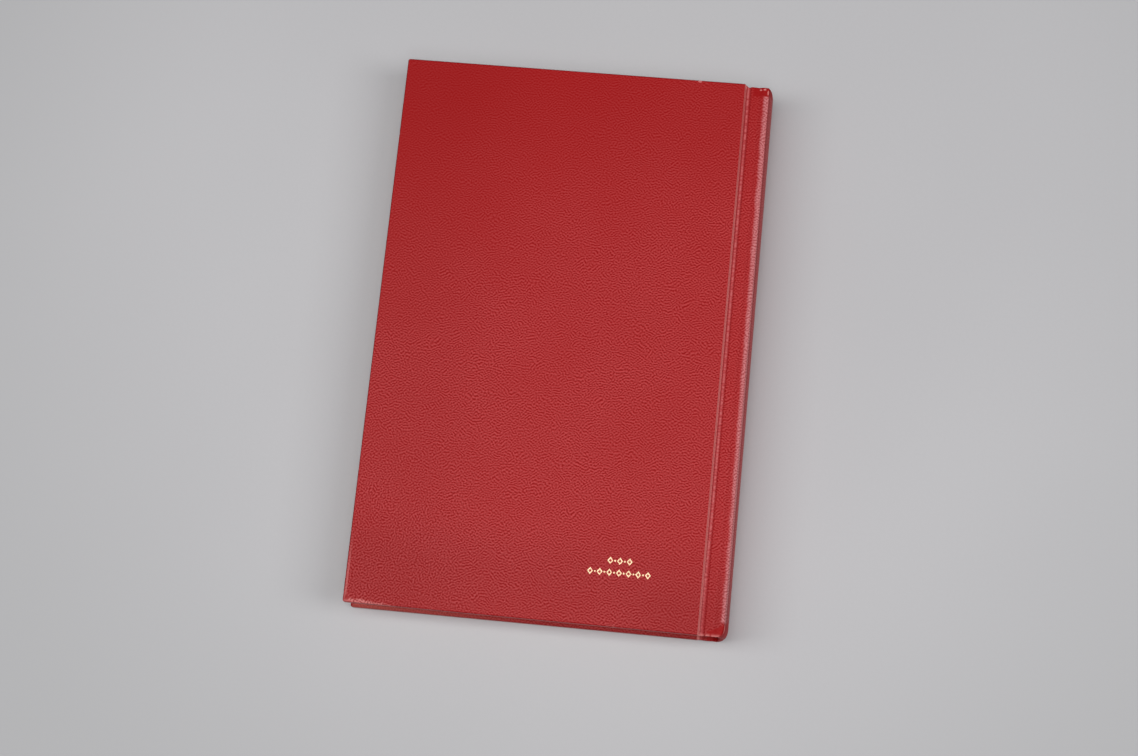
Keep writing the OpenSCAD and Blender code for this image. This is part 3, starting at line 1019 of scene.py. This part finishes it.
def leatherette_material():
    """Red embossed imitation leather with its rubbed edges, ridges and joints, and with painted sheen,
    highlights and shade on its grain, ridges, edges and joints.
    """
    m = Covering()
    grain = m.grain()
    depth = m.grain_depth()
    groove = m.groove()
    pressed = m.pressed_ends()
    ridge, below_ridge = m.ridge(grain)

    # On faint grain the tops, with their painted sheen, and the hollows, with their painted shade, are nearly
    # alike
    low_share = m.ramp(depth, 0.0, 1.0, 0.08, 0.0, False)
    high_share = m.ramp(depth, 0.0, 1.0, 0.08, 1.0, False)
    shade = m.ramp(grain, 0.0, 1.0, low_share, high_share, False)
    red = m.colour(shade, m.colour(depth, SHALLOW_HOLLOW, DEEP_HOLLOW), GRAIN_TOP)

    for share, tint in (
        # Painted light on the tail's edge and turn-ins
        (m.tail_turn_in_light(), TURN_IN_LIGHT),
        # Darker towards the margins
        (m.margins(), BLACK),
        # Painted shade on the turn of the boards' edges
        (m.mul(m.rim(), 0.65), RIM_SHADE_RED),
        # Pressed smooth, with painted shade where the spine's ends dip
        (m.mul(pressed, 0.85), PRESSED_AND_SHADED_RED),
        # Painted sheen in the groove
        (m.mul(groove, 0.25), GROOVE_SHEEN_RED),
        # Painted shade at the foot of the groove's wall
        (m.mul(m.line(JOINT_X + 0.5, 0.3), 0.55), GROOVE_WALL_SHADE),
        # Painted shade where the spine turns down below the ridge
        (m.mul(below_ridge, 0.75), UNDER_RIDGE_SHADE),
        # Painted highlight of the line in the groove
        (m.mul(m.joint_line(), 0.75), GROOVE_HIGHLIGHT),
        # The ridge's pale band: rubbing and a painted highlight
        (m.mul(ridge, 0.9), RIDGE_RUB_AND_HIGHLIGHT),
        # Rubbed pale, with a painted highlight on the board's edge in the joint
        (m.rubbed(grain), RUBBED_AND_ARRIS_HIGHLIGHT),
        (m.chip(), CHIPPED),
    ):
        red = m.colour(share, red, tint)

    roughness = m.ramp(shade, 0.0, 1.0, 0.5, 0.34, False)
    roughness = m.most_of(roughness, m.mul(pressed, 0.55), m.mul(below_ridge, 0.6))
    m.paint(red, roughness)
    smoothness = m.most_of(m.mul(groove, 0.8), ridge, pressed)
    height = m.mul(m.mul(grain, depth), m.ramp(smoothness, 0.0, 1.0, 1.0, 0.3, False))
    m.bump(height, 0.06 * MM)
    return m.material


def paper_material(name, colour, shade, line_scale=0.0, bent=False):
    """Uncoated paper. With a line scale, it shows the cut edges of leaves stacked along Z."""
    m = Material(name, Roughness=0.85, Specular_IOR_Level=0.25)
    place = m.place(bent)
    fibres = m.noise(place, 1.2, 3.0, 0.6)
    stains = m.noise(place, 0.03, 3.0)
    tint = m.colour(m.ramp(fibres, 0.3, 0.7), colour, shade)
    tint = m.colour(m.ramp(stains, 0.45, 0.75, 0.0, 0.15), tint, tuple(c * 0.8 for c in shade))
    height = fibres
    if line_scale:
        between_leaves = tuple(c * 0.66 for c in shade)
        lines = m.noise(m.scaled(place, 0.02, 0.02, line_scale), 1.0, 2.0, 0.7)
        gatherings = m.noise(m.scaled(place, 0.003, 0.003, 0.8), 1.0, 1.0)
        tint = m.colour(m.ramp(lines, 0.4, 0.6, 0.0, 0.5), tint, between_leaves)
        tint = m.colour(m.ramp(gatherings, 0.4, 0.62, 0.0, 0.3), tint, between_leaves)
        height = m.add(m.mul(lines, 2.0), fibres)
    m.paint(tint)
    m.bump(height, 0.03 * MM, 0.6)
    return m.material


def board_material():
    m = Material("greyboard", Roughness=0.9, Specular_IOR_Level=0.2)
    fibres = m.noise(m.place(), 0.9, 4.0, 0.7)
    m.paint(m.colour(m.ramp(fibres, 0.3, 0.7), (0.3, 0.26, 0.2), (0.42, 0.37, 0.29)))
    m.bump(fibres, 0.08 * MM, 0.7)
    return m.material


def woven_material(name, colour, shade, pitch, bent=False):
    """Open plain weave of threads that run along X and Y, or round the back."""
    m = Material(name, Roughness=0.9, Specular_IOR_Level=0.2)
    x, y, z = m.parts(m.place(bent))
    turn = 2 * math.pi / pitch
    warp = m.math("SINE", m.mul(m.add(x, z), turn))
    weft = m.math("SINE", m.mul(y, turn))
    thread = m.most(warp, weft)
    m.paint(m.colour(m.ramp(thread, -0.2, 0.9), shade, colour))
    m.bump(thread, 0.08 * MM, 0.8)
    return m.material


def band_material():
    """Two colours of thread wound over the bead."""
    m = Material("band_thread", Roughness=0.6, Specular_IOR_Level=0.3)
    flat = m.attribute("flat", "Vector")
    u, _, _ = m.parts(flat)
    m.shader.inputs["Sheen Weight"].default_value = 0.2
    stripe = m.ramp(m.math("SINE", m.mul(u, 2 * math.pi / STRIPE_W)), -0.25, 0.25)
    fibre = m.noise(m.scaled(flat, 6.0, 1.0, 1.0), 1.0, 2.0)
    colour = m.colour(stripe, (0.34, 0.025, 0.025), (0.74, 0.66, 0.5))
    m.paint(m.colour(m.ramp(fibre, 0.3, 0.7, 0.0, 0.3), colour, (0.2, 0.12, 0.08)))
    m.bump(m.math("SINE", m.mul(u, 2 * math.pi / THREAD_W)), 0.05 * MM, 0.6)
    return m.material


def foil_material():
    """Pale gold stamping foil with small breaks over the grain."""
    m = Material("foil", Metallic=0.35, Specular_IOR_Level=0.5)
    breaks = m.noise(m.place(), 2.2, 2.0, 0.6)
    gold = m.colour(m.ramp(breaks, 0.3, 0.62), (0.62, 0.33, 0.18), (0.86, 0.68, 0.42))
    m.paint(gold, m.ramp(breaks, 0.3, 0.7, 0.5, 0.36))
    m.bump(breaks, 0.03 * MM, 0.6)
    return m.material


def floor_material():
    """Pale and plain, with painted shade that makes it a little darker away from the book."""
    m = Material("floor", Roughness=0.75, Specular_IOR_Level=0.2)
    place = m.objects()
    x, y, _ = m.parts(place)
    fine = m.noise(place, 900.0, 3.0, 0.6)
    broad = m.noise(place, 5.0, 2.0)
    tone = m.add(m.mul(fine, 0.25), m.mul(broad, 0.75))
    centre_x, centre_y = 15 * MM, 60 * MM
    off_x, off_y = m.sub(x, centre_x), m.sub(y, centre_y)
    far = m.math("SQRT", m.add(m.mul(off_x, off_x), m.mul(off_y, off_y)))
    pale = m.colour(m.ramp(tone, 0.3, 0.7), (0.535, 0.53, 0.545), (0.56, 0.555, 0.57))
    # Painted shade: darker away from the book
    m.paint(m.colour(m.ramp(far, 0.14, 0.3), pale, (0.48, 0.48, 0.49)))
    return m.material


def set_material(thing, material):
    thing.data.materials.clear()
    thing.data.materials.append(material)


def bend_piece(thing, body, slot_name, *nodes):
    """A layer of the case lies over the groove, between its cover and the text block: its place is baked into
    its mesh, and the CAD nodes it stands for are hidden.
    """
    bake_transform(thing)
    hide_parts(*nodes)


def make_leatherette():
    material = leatherette_material()
    back = leatherette_sheet()
    whole_width = 2 * (RIM + lengths(outer_path())[-1])
    for side, sheet in (("back", back), ("front", back.mirrored(whole_width))):
        thing = sharpened(sheet.piece(side + "_leatherette", LEATHER_T), 60)
        set_material(thing, material)
        bend_piece(thing, side + "_cover", "leatherette", side + "_covering", "spine_covering")


def sharpened(thing, degrees=35):
    thing.data.set_sharp_from_angle(angle=math.radians(degrees))
    return thing


def rigid_piece(thing, material, body, slot_name, *nodes):
    set_material(thing, material)
    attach(thing, body)
    if nodes:
        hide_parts(*nodes)


def make_inside_layers():
    paper = paper_material("pastedown", *ENDPAPER, bent=True)
    gauze = woven_material("hinge_gauze", *GAUZE, bent=True)
    for layer, sheet, thickness, material, slot_name in (
        ("pastedown", pastedown_sheet(), PAPER_T, paper, "endpaper"),
        ("hinge_cloth", gauze_sheet(), MULL_T, gauze, "gauze"),
    ):
        for side, half in (("back", sheet), ("front", sheet.mirrored())):
            thing = sharpened(half.piece(f"{side}_{layer}_bent", thickness))
            set_material(thing, material)
            bend_piece(thing, side + "_cover", slot_name, f"{side}_{layer}")


def make_bands():
    material = band_material()
    head = band_sheet()
    tail = Sheet()
    tail.points = [(x, -y, z) for x, y, z in head.points]
    tail.flat, tail.values = head.flat, head.values
    tail.faces = [face[::-1] for face in head.faces]
    for name, sheet in (("head_band", head), ("tail_band", tail)):
        thing = sharpened(sheet.piece(name + "_wound"), 50)
        rigid_piece(thing, material, "block", "band", name)


def make_leaves():
    leaves = sharpened(leaves_sheet().piece("leaves"))
    rigid_piece(leaves, paper_material("leaves", *LEAF_PAPER, 6.0), "block", "leaves", "text_block")


def make_ornament():
    rigid_piece(sharpened(foil_sheet().piece("foil_ornament")), foil_material(), "back_cover", None)


def dress_cad_nodes():
    """CAD nodes that keep their shape get their materials. The card strip is made anew."""
    paper = paper_material("endpaper", *ENDPAPER)
    gauze = woven_material("gauze", *GAUZE)
    kraft = paper_material("lining_paper", *KRAFT)
    greyboard = board_material()
    finishes = {
        "front_flyleaf": paper, "back_flyleaf": paper, "mull": gauze, "spine_lining": kraft,
        "front_board": greyboard, "back_board": greyboard,
    }
    for name, material in finishes.items():
        set_material(frame["nodes"][name], material)
    strip = sharpened(strip_sheet().piece("card_strip"))
    rigid_piece(strip, paper_material("strip_card", *CARD), "block", "strip_card", "spine_strip")


def make_stage():
    clear = 0.1
    bpy.ops.mesh.primitive_plane_add(size=6, location=(0, 0, -clear * MM))
    floor = bpy.context.object
    floor.name = "floor"
    set_material(floor, floor_material())


def area_light(name, place, target, size, power):
    data = bpy.data.lights.new(name, "AREA")
    data.shape = "RECTANGLE"
    data.size, data.size_y = size
    data.energy = power
    lamp = bpy.data.objects.new(name, data)
    lamp.location = place
    lamp.rotation_euler = (Vector(target) - Vector(place)).to_track_quat("-Z", "Y").to_euler()
    bpy.context.scene.collection.objects.link(lamp)


def make_lights():
    area_light("left_softbox", (-0.7, -0.12, 1.1), (0, 0, 0), (0.42, 0.85), 5.25)
    area_light("right_softbox", (0.86, -0.12, 1.1), (0, 0, 0), (0.46, 0.85), 6.4)
    area_light("top_softbox", (-0.13, -0.08, 1.15), (-0.02, 0, 0), (0.35, 0.35), 2.4)
    area_light("front_softbox", (0.12, -0.34, 1.05), (0, 0, 0), (0.35, 0.5), 2.3)
    world = bpy.data.worlds.new("studio")
    world.use_nodes = True
    tree = world.node_tree
    background = tree.nodes["Background"]
    background.inputs["Color"].default_value = (1, 1, 1, 1)
    rays = shader_node(tree, "LightPath").outputs
    seen = rays["Is Camera Ray"]
    for kind in ("Is Glossy Ray", "Is Transmission Ray"):
        either = shader_node(tree, "Math", operation="ADD", use_clamp=True)
        tree.links.new(seen, either.inputs[0])
        tree.links.new(rays[kind], either.inputs[1])
        seen = either.outputs[0]
    strength = shader_node(tree, "MapRange")
    tree.links.new(seen, strength.inputs["Value"])
    strength.inputs["To Min"].default_value = 0.115
    strength.inputs["To Max"].default_value = 0.45
    tree.links.new(strength.outputs["Result"], background.inputs["Strength"])
    bpy.context.scene.world = world


def make_camera():
    """The photograph's viewpoint, solved from the outline of the cover."""
    picture_width = 1138
    focal_pixels = 2090.1
    data = bpy.data.cameras.new("camera")
    data.sensor_width = 36
    data.lens = focal_pixels * data.sensor_width / picture_width
    camera = bpy.data.objects.new("camera", data)
    camera.location = Vector((59.60, -161.98, 729.84)) * MM
    camera.rotation_mode = "ZYX"
    camera.rotation_euler = (0.20569, 0.07709, 0.08589)
    bpy.context.scene.collection.objects.link(camera)
    bpy.context.scene.camera = camera


bpy.context.scene.view_settings.view_transform = "Standard"
make_camera()
make_lights()
make_stage()
dress_cad_nodes()
make_leatherette()
make_inside_layers()
make_bands()
make_leaves()
make_ornament()
